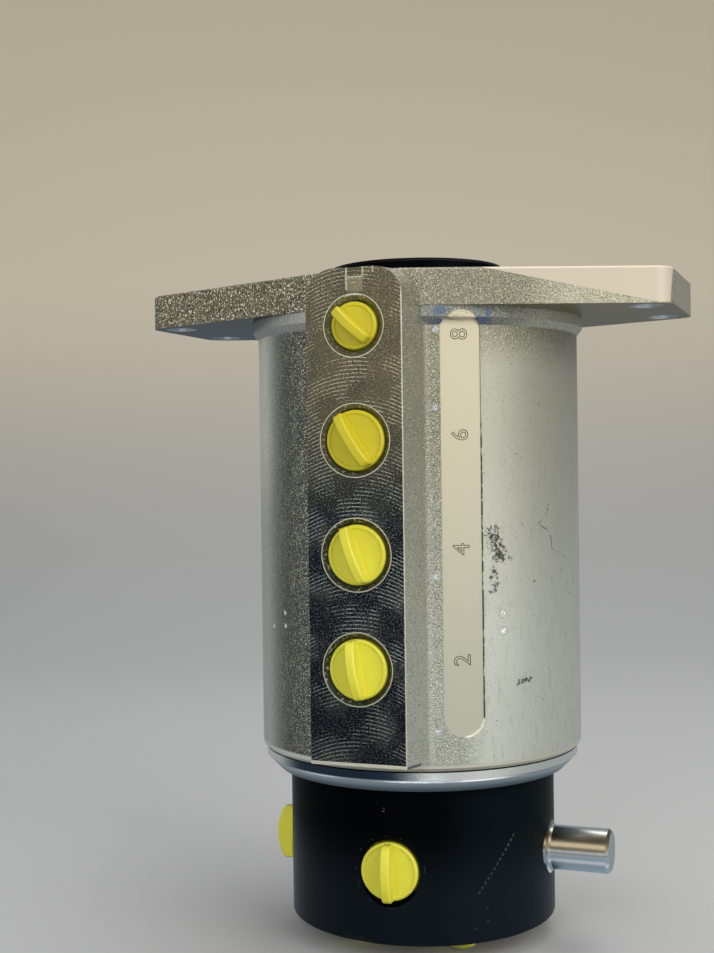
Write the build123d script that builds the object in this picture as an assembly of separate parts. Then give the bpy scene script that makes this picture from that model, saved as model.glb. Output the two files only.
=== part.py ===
from build123d import *
import os
from math import acos, atan2, cos, degrees, hypot, radians, sin, sqrt, tan

# Eight-channel hydraulic rotary union: a cast stator with a mounting flange and two rows of ports,
# round a steel rotor that carries the oil on to ports in its own lower end.
# Millimetres. The origin is the centre of the flange's mounting face, +Z points up out of that
# face, X runs along the flange's long axis and the even-numbered ports face -Y.

# ---------------------------------------------------------------- fits and gaps
running_clearance = 0.05      # radial, spool in its bore and seal rings on the spool
seat_clearance = 0.05         # between a piece and the seat that holds it
thrust_play = 0.2             # axial, between a thrust washer and what turns on it
overcut = 2.0                 # how far a cutting tool passes the face it starts from

# ---------------------------------------------------------------- channels
channel_count = 8
first_channel_depth = 17.0    # topmost channel, below the mounting face
last_channel_margin = 14.4    # lowest channel, above the stator's lower face
channel_width = 8.0
channel_groove_depth = 3.5

# ---------------------------------------------------------------- stator casting
stator_radius = 52.5
stator_length = 149.0
stator_rim_chamfer = 1.0
flange_thickness = 11.0
flange_half_length = 87.0
flange_end_half_width = 23.4
flange_web_radius = 54.5
flange_corner_radius = 7.0
flange_edge_radius = 0.6
bolt_spacing_x = 157.0
bolt_spacing_y = 35.0
bolt_hole_radius = 5.5
bead_radius = 54.2            # raised bead of the casting under the flange
bead_height = 3.4
bead_blend = 2.2

boss_face_distance = 60.1     # machined port face, from the axis
boss_face_half_width = 15.0
boss_draft = 17.7             # degrees
boss_corner_radius = 8.5
boss_root_fillet = 3.0
boss_end_land = 2.8           # between the boss and the stator's lower face
boss_end_chamfer = 0.8
vent_slot_width = 5.3         # shallow slot from the upper edge to the first port
vent_slot_depth = 0.35

pocket_azimuth = -57.9        # flat milled pocket that holds the port numbers
pocket_width = 12.4
pocket_depth = 0.75
pocket_top = 12.0
pocket_length = 127.0

# ---------------------------------------------------------------- ports: G1/2 and G3/8
large_port = {"bore": 9.5, "mouth": 10.75, "depth": 13.5}
small_port = {"bore": 7.6, "mouth": 9.2, "depth": 12.0}
rotor_port = {"bore": 9.5, "mouth": 10.75, "depth": 11.5}
large_port_drill_radius = 4.5
small_port_drill_radius = 3.4
drill_point_angle = 31.0      # slope of the cone that a drill leaves

# ---------------------------------------------------------------- rotor
spool_radius = 29.0
rotor_radius = 43.4
rotor_edge_radius = 0.6
rotor_top_height = 6.8        # upper end, above the mounting face
rotor_top_chamfer = 1.0
drilling_radius = 3.2
drilling_circle = 20.5
drilling_overrun = 0.6        # past the crossing that it feeds
crossing_radius = 2.9
drilling_plug_radius = 4.5
drilling_plug_length = 5.5
drilling_plug_recess = 0.3
drilling_plug_hex = 4.0
port_row_drop = 25.7          # side ports and torque pin, below the collar
rotor_end_drop = 22.4         # lower face, below that row
side_port_azimuths = (-86.0, -170.0, 57.0)
end_port_count = 5
end_port_azimuth = -51.0
end_port_circle = 26.5
edge_flat_azimuth = -100.0    # small flat ground on the lower edge
edge_flat_height = 1.7
edge_flat_depth = 0.9

# ---------------------------------------------------------------- rings, washers and seals
collar_gap = 0.5              # between the stator's lower face and the collar
collar_radius = 51.3
collar_band = 2.4
collar_length = 6.4
collar_chamfer = 3.9
collar_register_radius = 38.0
washer_thickness = 3.0
washer_inner_clearance = 0.3
lower_washer_radius = 41.0
upper_washer_radius = 37.0
washer_recess_clearance = 0.3
circlip_thickness = 2.0
circlip_groove_depth = 1.8
circlip_width = 4.6
circlip_gap = 9.0
circlip_lug_radius = 3.3
circlip_lug_hole = 1.25

gland_width = 4.2             # grooves in the stator's bore for the rotary seals
gland_depth = 4.0
seal_ring_thickness = 1.9
seal_side_clearance = 0.1
energiser_width = 2.8
energiser_corner = 0.8
dust_seal_circle = 46.0
dust_seal_radius = 1.25
dust_groove_width = 3.0

# ---------------------------------------------------------------- torque pin
pin_radius = 7.0
pin_reach = 19.5              # beyond the rotor's side
pin_embed = 15.0
pin_end_chamfer = 0.9
pin_foot_radius = 8.3
pin_foot_thickness = 0.9
pin_foot_fillet = 1.2

# ---------------------------------------------------------------- plastic port caps
cap_disc_clearance = 0.6      # radial, disc in the port's bore
cap_disc_thickness = 2.0
cap_rim_width = 1.3
cap_rim_height = 0.4
cap_stem_inset = 0.7
cap_stem_wall = 1.2
cap_stem_length = 8.5
cap_fin_height = 0.9
cap_fin_pitch = 3.2
cap_grip_width = 2.9
cap_grip_height = 6.0
cap_grip_shoulder = 3.7
cap_grip_inset = 0.2
cap_grip_corner = 2.0
cap_grip_softening = 0.4
even_grip_angles = {8: 47.0, 6: 31.0, 4: 20.0, 2: 9.0}
odd_grip_angles = {7: 12.0, 5: -25.0, 3: 38.0, 1: 5.0}
side_grip_angles = (1.0, 4.0, 22.0)
end_grip_angles = (68.0, -60.0, 30.0, 75.0, -40.0)

# ---------------------------------------------------------------- worked out from the above
collar_top = -(stator_length + collar_gap)
collar_bottom = collar_top - collar_length
lower_recess_top = collar_top + thrust_play + washer_thickness
upper_recess_depth = washer_thickness + thrust_play
bore_radius = spool_radius + running_clearance
port_row = collar_bottom - port_row_drop
bottom = port_row - rotor_end_drop
channel_run = stator_length - first_channel_depth - last_channel_margin
channel_pitch = channel_run / (channel_count - 1)
channel_heights = [-(first_channel_depth + n * channel_pitch) for n in range(channel_count)]
gland_heights = [channel_heights[0] + channel_pitch / 2]
gland_heights += [height - channel_pitch / 2 for height in channel_heights]
port_numbers = [channel_count - n for n in range(channel_count)]


def radial_plane(azimuth, distance, height):
    """Plane square to a radius: its Z points outwards and its Y points up."""
    out = (cos(radians(azimuth)), sin(radians(azimuth)), 0)
    across = (-out[1], out[0], 0)
    return Plane(origin=(distance * out[0], distance * out[1], height), x_dir=across, z_dir=out)


def ring(inner, outer, low, high):
    """Plain ring about the axis."""
    return Pos(0, 0, low) * extrude(Circle(outer) - Circle(inner), high - low)


def turned(points):
    """Solid of revolution about Z from (radius, height) points."""
    outline = Polyline(*points, close=True)
    return revolve(Plane.XZ * make_face(outline), Axis.Z)


def port_of(number):
    """On the stator the two end channels have small ports, the others large ones."""
    return small_port if number in (port_numbers[0], port_numbers[-1]) else large_port


def port_tool(port):
    """Cutting tool of a port: its mouth is at the local origin and it runs along -Z."""
    point = port["bore"] * tan(radians(drill_point_angle))
    points = [(0, overcut), (port["mouth"], overcut), (port["mouth"], 0)]
    points += [(port["bore"], port["bore"] - port["mouth"]), (port["bore"], -port["depth"])]
    points += [(0, -port["depth"] - point)]
    return turned(points)


def passage(radius, reach):
    """Cutting tool of the drilled oil passage behind a port."""
    return Pos(0, 0, -reach) * extrude(Circle(radius), reach)


# ================================================================ stator
def boss_plan(side):
    """Drafted section of a port boss, from inside the wall out to its face."""
    root = bore_radius
    spread = boss_face_half_width + (boss_face_distance - root) * tan(radians(boss_draft))
    corners = [(-boss_face_half_width, side * boss_face_distance), (-spread, side * root)]
    corners += [(spread, side * root), (boss_face_half_width, side * boss_face_distance)]
    return make_face(Polyline(*corners, close=True))


def boss(side):
    """One port boss up to the mounting face, with its two upper corners rounded."""
    height = stator_length - boss_end_land
    block = Pos(0, 0, -height) * extrude(boss_plan(side), height)
    upper = block.edges().group_by(Axis.Z)[-1].sort_by(lambda edge: abs(edge.center().X))[-2:]
    block = fillet(upper, boss_corner_radius)
    foot = block.edges().group_by(Axis.Z)[0].sort_by(lambda edge: side * edge.center().Y)[-1]
    return chamfer(foot, boss_end_chamfer)


def stator_plan():
    """Section of the stator below the flange: a circle with two filleted bosses."""
    plan = Circle(stator_radius) + boss_plan(-1) + boss_plan(1)
    roots = [v for v in plan.vertices() if abs(hypot(v.X, v.Y) - stator_radius) < 0.01]
    roots = [v for v in roots if abs(v.X) < stator_radius / 2]
    return fillet(roots, boss_root_fillet)


def flange_plate():
    """Lozenge plate: straight edges run from the narrow ends to touch the round web."""
    corner_angle = degrees(atan2(flange_end_half_width, flange_half_length))
    reach = hypot(flange_half_length, flange_end_half_width)
    touch = radians(corner_angle + degrees(acos(flange_web_radius / reach)))
    touch_x = flange_web_radius * cos(touch)
    touch_y = flange_web_radius * sin(touch)
    quarter = [(flange_half_length, flange_end_half_width), (touch_x, touch_y)]
    points = quarter + [(-x, y) for x, y in reversed(quarter)]
    points += [(-x, -y) for x, y in quarter] + [(x, -y) for x, y in reversed(quarter)]
    plate = make_face(Polyline(*points, close=True))
    ends = [v for v in plate.vertices() if abs(v.X) > flange_half_length - 0.01]
    plate = fillet(ends, flange_corner_radius) + Circle(flange_web_radius)
    plate = Pos(0, 0, -flange_thickness) * extrude(plate, flange_thickness)
    upper = plate.edges().group_by(Axis.Z)[-1]
    return chamfer(upper, flange_edge_radius)


def under_bead():
    """Rounded bead of the casting where the stator meets the flange."""
    low = -(flange_thickness + bead_height)
    points = [(bore_radius, -flange_thickness), (bead_radius, -flange_thickness), (bead_radius, low)]
    points += [(stator_radius, low - bead_blend), (bore_radius, low - bead_blend)]
    return turned(points)


def stator_bore():
    """Cutting tool of the bore, its two washer recesses and its seal glands."""
    upper = upper_washer_radius + washer_recess_clearance
    lower = lower_washer_radius + washer_recess_clearance
    points = [(0, overcut), (upper, overcut), (upper, -upper_recess_depth)]
    points += [(bore_radius, -upper_recess_depth)]
    for height in gland_heights:
        high, low = height + gland_width / 2, height - gland_width / 2
        points += [(bore_radius, high), (bore_radius + gland_depth, high)]
        points += [(bore_radius + gland_depth, low), (bore_radius, low)]
    points += [(bore_radius, lower_recess_top), (lower, lower_recess_top)]
    points += [(lower, -stator_length - overcut), (0, -stator_length - overcut)]
    return turned(points)


def stator_ports():
    """Where each numbered port opens on the two boss faces: number, plane."""
    places = []
    for number, height in zip(port_numbers, channel_heights):
        azimuth = -90 if number % 2 == 0 else 90
        places.append((number, radial_plane(azimuth, boss_face_distance, height)))
    return places


def vent_slot():
    """Shallow slot in the even boss face, from its upper edge into the first port."""
    length = first_channel_depth
    face = radial_plane(-90, boss_face_distance, -length / 2)
    return extrude(face * Rectangle(vent_slot_width, length), -vent_slot_depth)


def number_pocket():
    """Flat-floored pocket with round ends, milled along the stator's side."""
    middle = -(pocket_top + pocket_length / 2)
    face = radial_plane(pocket_azimuth, stator_radius - pocket_depth, middle)
    return extrude(face * SlotOverall(pocket_length, pocket_width, rotation=90), overcut)


def housing():
    body_top = -flange_thickness
    body = Pos(0, 0, boss_end_land - stator_length) * extrude(
        stator_plan(), stator_length - boss_end_land + body_top)
    rim = Pos(0, 0, -stator_length) * extrude(Circle(stator_radius), boss_end_land + 1)
    rim_edge = rim.edges().group_by(Axis.Z)[0]
    body += chamfer(rim_edge, stator_rim_chamfer)
    body += flange_plate()
    body += under_bead()
    body += boss(-1)
    body += boss(1)
    body -= number_pocket()
    body -= vent_slot()
    body -= stator_bore()
    half_width = dust_groove_width / 2
    groove_floor = -stator_length - collar_gap + 2 * dust_seal_radius + 3 * seat_clearance
    body -= ring(dust_seal_circle - half_width, dust_seal_circle + half_width,
                 -stator_length - overcut, groove_floor)
    for number, plane in stator_ports():
        drill = large_port_drill_radius
        if port_of(number) is small_port:
            drill = small_port_drill_radius
        reach = boss_face_distance - bore_radius + gland_depth / 2
        body -= plane.location * port_tool(port_of(number))
        body -= plane.location * passage(drill, reach)
    for x in (-bolt_spacing_x / 2, bolt_spacing_x / 2):
        for y in (-bolt_spacing_y / 2, bolt_spacing_y / 2):
            hole = Cylinder(bolt_hole_radius, flange_thickness + 2 * overcut)
            body -= Pos(x, y, -flange_thickness / 2) * hole
    return body


# ================================================================ rotor
def rotor_channels():
    """Port place, its size and the channel height for each numbered channel."""
    step = 360 / end_port_count
    numbers = list(reversed(port_numbers))
    side_numbers = numbers[1:1 + len(side_port_azimuths)]
    channels = []
    for number, azimuth in zip(side_numbers, side_port_azimuths):
        channels.append((number, "side", azimuth))
    others = [number for number in numbers if number not in side_numbers]
    for index, number in enumerate(others[:end_port_count]):
        channels.append((number, "end", end_port_azimuth - index * step))
    return channels


def end_plane(azimuth):
    """Plane of a port in the rotor's lower face: its Z points down."""
    x = end_port_circle * cos(radians(azimuth))
    y = end_port_circle * sin(radians(azimuth))
    across = (cos(radians(azimuth)), sin(radians(azimuth)), 0)
    return Plane(origin=(x, y, bottom), x_dir=across, z_dir=(0, 0, -1))


def rotor_blank():
    """Turned rotor with its channels and circlip groove."""
    groove = spool_radius - circlip_groove_depth
    low, high = -seat_clearance, circlip_thickness + seat_clearance
    points = [(0, rotor_top_height), (spool_radius - rotor_top_chamfer, rotor_top_height)]
    points += [(spool_radius, rotor_top_height - rotor_top_chamfer)]
    points += [(spool_radius, high), (groove, high), (groove, low), (spool_radius, low)]
    floor = spool_radius - channel_groove_depth
    for height in channel_heights:
        upper, lower = height + channel_width / 2, height - channel_width / 2
        points += [(spool_radius, upper), (floor, upper), (floor, lower), (spool_radius, lower)]
    points += [(spool_radius, collar_top), (collar_register_radius, collar_top)]
    points += [(collar_register_radius, collar_bottom), (rotor_radius, collar_bottom)]
    points += [(rotor_radius, bottom), (0, bottom)]
    blank = turned(points)
    rim = blank.edges().group_by(Axis.Z)[0].sort_by(lambda edge: edge.length)[-1]
    return fillet(rim, rotor_edge_radius)


def edge_flat():
    """Cutting tool of the small slanting flat on the rotor's lower edge."""
    face = radial_plane(edge_flat_azimuth, rotor_radius, bottom)
    corners = [(0, edge_flat_height), (-edge_flat_depth, 0), (-edge_flat_depth, -overcut)]
    corners += [(overcut, -overcut), (overcut, edge_flat_height)]
    side = Plane(origin=face.origin, x_dir=face.z_dir, z_dir=-face.x_dir)
    return extrude(side * make_face(Polyline(*corners, close=True)), rotor_radius / 2, both=True)


def drilling(azimuth, low, high):
    """Long axial oil passage."""
    x = drilling_circle * cos(radians(azimuth))
    y = drilling_circle * sin(radians(azimuth))
    return Pos(x, y, low) * extrude(Circle(drilling_radius), high - low)


def plug_seat(azimuth):
    x = drilling_circle * cos(radians(azimuth))
    y = drilling_circle * sin(radians(azimuth))
    return Pos(x, y, rotor_top_height)


def rotor():
    body = rotor_blank()
    overrun = crossing_radius + drilling_overrun
    for number, kind, azimuth in rotor_channels():
        height = channel_heights[port_numbers.index(number)]
        crossing = radial_plane(azimuth, drilling_circle, height)
        body -= extrude(crossing * Circle(crossing_radius), spool_radius - drilling_circle)
        if kind == "side":
            mouth = radial_plane(azimuth, rotor_radius, port_row)
            body -= mouth.location * port_tool(rotor_port)
            body -= mouth.location * passage(crossing_radius, rotor_radius - drilling_circle)
            body -= drilling(azimuth, port_row - overrun, rotor_top_height + overcut)
            seat = Cylinder(drilling_plug_radius, 2 * (drilling_plug_length + drilling_plug_recess))
            body -= plug_seat(azimuth) * seat
        else:
            mouth = end_plane(azimuth)
            body -= mouth.location * port_tool(rotor_port)
            body -= drilling(azimuth, bottom + rotor_port["depth"] - 1, height + overrun)
    body -= edge_flat()
    face = radial_plane(0, rotor_radius - pin_foot_seat(), port_row)
    body -= extrude(face * Circle(pin_foot_radius + seat_clearance), overcut)
    body -= extrude(face * Circle(pin_radius + seat_clearance), -pin_embed)
    return body


def pin_foot_seat():
    """Depth of the flat that the pin's foot sits on: just below the round side."""
    reach = pin_foot_radius + seat_clearance
    return rotor_radius - sqrt(rotor_radius ** 2 - reach ** 2)


def torque_pin():
    """Round pin with a flared foot, its axis along X."""
    length = pin_reach + pin_foot_seat()
    points = [(0, -pin_embed + seat_clearance), (pin_radius, -pin_embed + seat_clearance)]
    points += [(pin_radius, 0), (pin_foot_radius, 0), (pin_foot_radius, pin_foot_thickness)]
    points += [(pin_radius + pin_foot_fillet, pin_foot_thickness)]
    points += [(pin_radius + 0.3 * pin_foot_fillet, pin_foot_thickness + 0.3 * pin_foot_fillet)]
    points += [(pin_radius, pin_foot_thickness + pin_foot_fillet)]
    points += [(pin_radius, length - pin_end_chamfer), (pin_radius - pin_end_chamfer, length)]
    points += [(0, length)]
    return radial_plane(0, rotor_radius - pin_foot_seat(), port_row).location * turned(points)


def drilling_plug(azimuth):
    """Short plug with a hexagon socket that closes the upper end of a side port's drilling."""
    plug = Pos(0, 0, -drilling_plug_length) * extrude(
        Circle(drilling_plug_radius - seat_clearance), drilling_plug_length)
    plug -= extrude(RegularPolygon(drilling_plug_hex / sqrt(3), 6), -drilling_plug_length / 2)
    return plug_seat(azimuth) * Pos(0, 0, -drilling_plug_recess) * plug


def collar_ring():
    """Turned ring on the rotor's register, chamfered down to the rotor's side."""
    points = [(collar_register_radius + seat_clearance, collar_top), (collar_radius, collar_top)]
    points += [(collar_radius, collar_top - collar_band)]
    points += [(collar_radius - collar_chamfer, collar_bottom)]
    points += [(collar_register_radius + seat_clearance, collar_bottom)]
    return turned(points)


# ================================================================ washers, circlip and seals
def upper_thrust_washer():
    return ring(spool_radius + washer_inner_clearance, upper_washer_radius,
                -upper_recess_depth, -thrust_play)


def lower_thrust_washer():
    return ring(spool_radius + washer_inner_clearance, lower_washer_radius,
                lower_recess_top - washer_thickness, lower_recess_top)


def circlip():
    """External snap ring with a pair of lugs for the pliers."""
    inner = spool_radius - circlip_groove_depth + seat_clearance
    outer = inner + circlip_width
    shape = Circle(outer)
    lug_circle = outer - circlip_lug_radius / 2
    spread = degrees((circlip_gap / 2 + circlip_lug_radius) / lug_circle)
    lugs = [radians(90 + side * spread) for side in (-1, 1)]
    for angle in lugs:
        shape += Pos(lug_circle * cos(angle), lug_circle * sin(angle)) * Circle(circlip_lug_radius)
    shape -= Circle(inner)
    shape -= Pos(0, outer) * Rectangle(circlip_gap, 2 * circlip_width + 2 * circlip_lug_radius)
    for angle in lugs:
        shape -= Pos(lug_circle * cos(angle), lug_circle * sin(angle)) * Circle(circlip_lug_hole)
    return extrude(shape, circlip_thickness)


def seal_ring(height):
    """Square-section slide ring that wipes the spool."""
    inner = spool_radius + running_clearance
    half = gland_width / 2 - seal_side_clearance
    return ring(inner, inner + seal_ring_thickness, height - half, height + half)


def energiser(height):
    """Squeezed rubber ring behind a slide ring."""
    inner = spool_radius + running_clearance + seal_ring_thickness + seat_clearance
    outer = bore_radius + gland_depth - seat_clearance
    section = Pos((inner + outer) / 2, 0) * Rectangle(outer - inner, energiser_width)
    section = chamfer(section.vertices(), min(energiser_corner, 0.45 * (outer - inner)))
    return Pos(0, 0, height) * revolve(Plane.XZ * section, Axis.Z)


def dust_seal():
    """Round rubber ring between the stator's lower face and the collar."""
    height = collar_top + dust_seal_radius + 2 * seat_clearance
    section = Pos(dust_seal_circle, 0) * RegularPolygon(dust_seal_radius, 10)
    return Pos(0, 0, height) * revolve(Plane.XZ * section, Axis.Z)


# ================================================================ port caps
def port_cap(port, grip_angle):
    """Push-in plug: a disc in the port's mouth, a hollow finned stem and a grip across the disc."""
    disc = port["bore"] - cap_disc_clearance
    stem = disc - cap_stem_inset
    fin = port["bore"] - seat_clearance
    hollow = stem - cap_stem_wall
    end = -cap_disc_thickness - cap_stem_length
    points = [(0, -cap_rim_height), (disc - cap_rim_width, -cap_rim_height)]
    points += [(disc - cap_rim_width + cap_rim_height, 0), (disc - cap_rim_height, 0)]
    points += [(disc, -cap_rim_height), (disc, -cap_disc_thickness), (stem, -cap_disc_thickness)]
    for index in (1, 2):
        crest = -cap_disc_thickness - index * cap_fin_pitch
        points += [(stem, crest + cap_fin_height / 2), (fin, crest), (stem, crest - cap_fin_height)]
    points += [(stem, end), (hollow, end), (hollow, -cap_disc_thickness), (0, -cap_disc_thickness)]
    return turned(points) + Rot(0, 0, grip_angle) * cap_grip(disc)


def cap_grip(disc):
    """Upright bar with an arched top and rounded ends, as long as the disc is wide."""
    half = disc - cap_grip_inset
    arch = ThreePointArc((-half, cap_grip_shoulder), (0, cap_grip_height), (half, cap_grip_shoulder))
    low = -cap_rim_height
    sides = Polyline((half, cap_grip_shoulder), (half, low), (-half, low), (-half, cap_grip_shoulder))
    outline = make_face([arch, sides])
    outline = fillet(outline.vertices().group_by(Axis.Y)[-1], cap_grip_corner)
    bar = extrude(Plane.YZ * outline, cap_grip_width / 2, both=True)
    crown = bar.edges().filter_by(GeomType.CIRCLE)
    return chamfer(crown, cap_grip_softening)


def cap_nodes():
    """Every port's cap, named after its port."""
    caps = {}
    for number, plane in stator_ports():
        angles = even_grip_angles if number % 2 == 0 else odd_grip_angles
        name = "port_cap_stator_" + str(number)
        caps[name] = plane.location * port_cap(port_of(number), angles.get(number, 0))
    sides = 0
    ends = 0
    for number, kind, azimuth in rotor_channels():
        name = "port_cap_rotor_" + str(number)
        if kind == "side":
            mouth = radial_plane(azimuth, rotor_radius, port_row)
            angle = side_grip_angles[sides % len(side_grip_angles)]
            sides += 1
        else:
            mouth = end_plane(azimuth)
            angle = end_grip_angles[ends % len(end_grip_angles)]
            ends += 1
        caps[name] = mouth.location * port_cap(rotor_port, angle)
    return caps


def all_parts():
    parts = {
        "stator_housing": housing(),
        "rotor": rotor(),
        "collar_ring": collar_ring(),
        "torque_pin": torque_pin(),
        "circlip": circlip(),
        "upper_thrust_washer": upper_thrust_washer(),
        "lower_thrust_washer": lower_thrust_washer(),
        "lower_dust_seal": dust_seal(),
    }
    for index, height in enumerate(gland_heights):
        parts["seal_ring_" + str(index + 1)] = seal_ring(height)
        parts["seal_energiser_" + str(index + 1)] = energiser(height)
    side_numbers = [azimuth for number, kind, azimuth in rotor_channels() if kind == "side"]
    for index, azimuth in enumerate(side_numbers):
        parts["drilling_plug_" + str(index + 1)] = drilling_plug(azimuth)
    parts.update(cap_nodes())
    return parts


os.makedirs("parts", exist_ok=True)
for name, solid in all_parts().items():
    export_step(solid, "parts/" + name + ".step")
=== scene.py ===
from math import cos, pi, radians, sin

import bpy
from mathutils import Matrix, Quaternion, Vector


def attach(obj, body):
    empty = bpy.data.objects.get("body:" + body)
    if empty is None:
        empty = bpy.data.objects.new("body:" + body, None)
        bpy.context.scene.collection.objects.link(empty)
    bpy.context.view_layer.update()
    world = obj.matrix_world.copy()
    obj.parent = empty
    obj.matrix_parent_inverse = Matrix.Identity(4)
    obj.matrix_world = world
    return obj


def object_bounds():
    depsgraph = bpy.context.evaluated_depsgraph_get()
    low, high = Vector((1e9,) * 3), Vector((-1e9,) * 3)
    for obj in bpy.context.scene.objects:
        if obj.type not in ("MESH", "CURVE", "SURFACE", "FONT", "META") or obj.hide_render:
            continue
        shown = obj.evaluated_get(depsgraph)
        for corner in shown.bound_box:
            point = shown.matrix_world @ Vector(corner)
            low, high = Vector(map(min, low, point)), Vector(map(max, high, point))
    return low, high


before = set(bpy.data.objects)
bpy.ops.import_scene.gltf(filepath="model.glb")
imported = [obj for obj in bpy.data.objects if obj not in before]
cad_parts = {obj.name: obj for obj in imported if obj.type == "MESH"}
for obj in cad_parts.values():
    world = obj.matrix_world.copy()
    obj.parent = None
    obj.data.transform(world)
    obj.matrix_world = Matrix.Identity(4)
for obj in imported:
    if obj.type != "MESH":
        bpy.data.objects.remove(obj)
cad_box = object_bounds()

# ------------------------------------------------------------------------------------------------
# Stator casting. One iron casting with a lozenge flange and two port bosses, sand-cast, then milled
# on the boss faces, the flange and the number pocket, bored, and zinc plated all over. The raw skin
# glitters with grain; the milled faces are darker and carry the cutter's arcs.

MM = 0.001


def srgb(red, green, blue):
    """Display colour, 0 to 255, as the linear colour that shaders use."""
    channels = []
    for value in (red, green, blue):
        value = value / 255
        channels.append(value / 12.92 if value <= 0.04045 else ((value + 0.055) / 1.055) ** 2.4)
    return (*channels, 1.0)


def on_side(radius_mm, azimuth, z):
    """Point on a round side, in millimetres."""
    angle = radians(azimuth)
    return (radius_mm * cos(angle), radius_mm * sin(angle), z)


class Finish:
    """One procedural material, built node by node, with coordinates in millimetres."""

    def __init__(self, name):
        self.material = bpy.data.materials.new(name)
        self.material.use_nodes = True
        self.tree = self.material.node_tree
        self.shader = self.tree.nodes["Principled BSDF"]
        coords = self.tree.nodes.new("ShaderNodeTexCoord")
        self.place = self.vector("MULTIPLY", coords.outputs["Object"], (1000, 1000, 1000))
        self.normal = self.tree.nodes.new("ShaderNodeNewGeometry").outputs["Normal"]

    def put(self, socket, value):
        """Links an output, or sets a plain value, on an input socket."""
        if isinstance(value, bpy.types.NodeSocket):
            self.tree.links.new(value, socket)
        else:
            socket.default_value = value

    def math(self, operation, *values):
        """One sum, product or other operation on numbers."""
        node = self.tree.nodes.new("ShaderNodeMath")
        node.operation = operation
        for socket, value in zip(node.inputs, values):
            self.put(socket, value)
        return node.outputs[0]

    def vector(self, operation, *values):
        """One operation on vectors."""
        node = self.tree.nodes.new("ShaderNodeVectorMath")
        node.operation = operation
        for socket, value in zip(node.inputs, values):
            self.put(socket, value)
        return node.outputs["Value" if operation in ("DOT_PRODUCT", "LENGTH", "DISTANCE") else 0]

    def along(self, direction, source=None):
        """How far the surface point, or another vector, lies along a direction."""
        return self.vector("DOT_PRODUCT", source or self.place, direction)

    def step(self, value, low, high):
        """0 below low, 1 above high, smooth between; low may be the larger one."""
        node = self.tree.nodes.new("ShaderNodeMapRange")
        node.interpolation_type = "SMOOTHSTEP"
        flip = low > high
        self.put(node.inputs["Value"], value)
        node.inputs["From Min"].default_value = min(low, high)
        node.inputs["From Max"].default_value = max(low, high)
        node.inputs["To Min"].default_value = 1.0 if flip else 0.0
        node.inputs["To Max"].default_value = 0.0 if flip else 1.0
        return node.outputs[0]

    def band(self, value, low, high, soft):
        """1 between low and high, 0 outside, over a soft edge."""
        return self.math("MULTIPLY", self.step(value, low - soft, low + soft),
                         self.step(value, high + soft, high - soft))

    def both(self, *masks):
        """Where all the masks hold: their product, which also scales one by a number."""
        result = masks[0]
        for mask in masks[1:]:
            result = self.math("MULTIPLY", result, mask)
        return result

    def most(self, *masks):
        """The strongest of several masks at each point."""
        result = masks[0]
        for mask in masks[1:]:
            result = self.math("MAXIMUM", result, mask)
        return result

    def noise(self, scale, detail=3.0, rough=0.55, stretch=(1, 1, 1), shift=0.0, place=None):
        """Fractal noise; scale is in cycles per millimetre."""
        place = self.vector("MULTIPLY", place or self.place, stretch)
        if shift:
            place = self.vector("ADD", place, (shift, shift * 0.7, -shift))
        node = self.tree.nodes.new("ShaderNodeTexNoise")
        self.put(node.inputs["Vector"], place)
        node.inputs["Scale"].default_value = scale
        node.inputs["Detail"].default_value = detail
        node.inputs["Roughness"].default_value = rough
        return node.outputs["Fac"]

    def grains(self, scale):
        """Cell pattern of crystal or sand grains."""
        node = self.tree.nodes.new("ShaderNodeTexVoronoi")
        self.put(node.inputs["Vector"], self.place)
        node.inputs["Scale"].default_value = scale
        return node.outputs["Distance"]

    def streak(self, start, end, half_width, soft=0.5):
        """Mask of a straight mark between two points, and how far along it each point lies."""
        start, end = Vector(start), Vector(end)
        run = end - start
        line = run.normalized()
        offset = self.vector("SUBTRACT", self.place, tuple(start))
        reach = self.vector("DOT_PRODUCT", offset, tuple(line))
        pace = self.tree.nodes.new("ShaderNodeVectorMath")
        pace.operation = "SCALE"
        pace.inputs[0].default_value = tuple(line)
        held = self.math("MINIMUM", self.math("MAXIMUM", reach, 0), run.length)
        self.put(pace.inputs["Scale"], held)
        away = self.vector("LENGTH", self.vector("SUBTRACT", offset, pace.outputs[0]))
        return self.step(away, half_width, half_width * (1 - soft)), reach

    def spot(self, centre, size, soft=0.5):
        """Round mask about a point."""
        away = self.vector("DISTANCE", self.place, tuple(centre))
        return self.step(away, size, size * (1 - soft))

    def mix(self, kind, mask, first, second):
        """The first value where the mask is 0 and the second where it is 1."""
        node = self.tree.nodes.new("ShaderNodeMix")
        node.data_type = kind
        self.put(node.inputs["Factor"], mask)
        self.put(node.inputs["A"], first)
        self.put(node.inputs["B"], second)
        return node.outputs["Result"]

    def colour(self, mask, first, second):
        """Mix of two colours."""
        return self.mix("RGBA", mask, first, second)

    def blend(self, mask, first, second):
        """Mix of two numbers."""
        return self.mix("FLOAT", mask, first, second)

    def relief(self, height, depth_mm, under=None):
        """Bump from a height between 0 and 1, as deep as depth_mm."""
        node = self.tree.nodes.new("ShaderNodeBump")
        node.inputs["Strength"].default_value = 1.0
        node.inputs["Distance"].default_value = depth_mm * MM
        self.put(node.inputs["Height"], height)
        if under is not None:
            self.put(node.inputs["Normal"], under)
        return node.outputs["Normal"]

    def surface(self, **values):
        """Sets shader inputs by their names, with _ for a space."""
        for name, value in values.items():
            self.put(self.shader.inputs[name.replace("_", " ")], value)
        return self.material


def wear(finish, *nodes):
    """Gives a finish to carried-over pieces."""
    for name in nodes:
        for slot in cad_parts[name].material_slots:
            slot.material = finish


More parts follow.
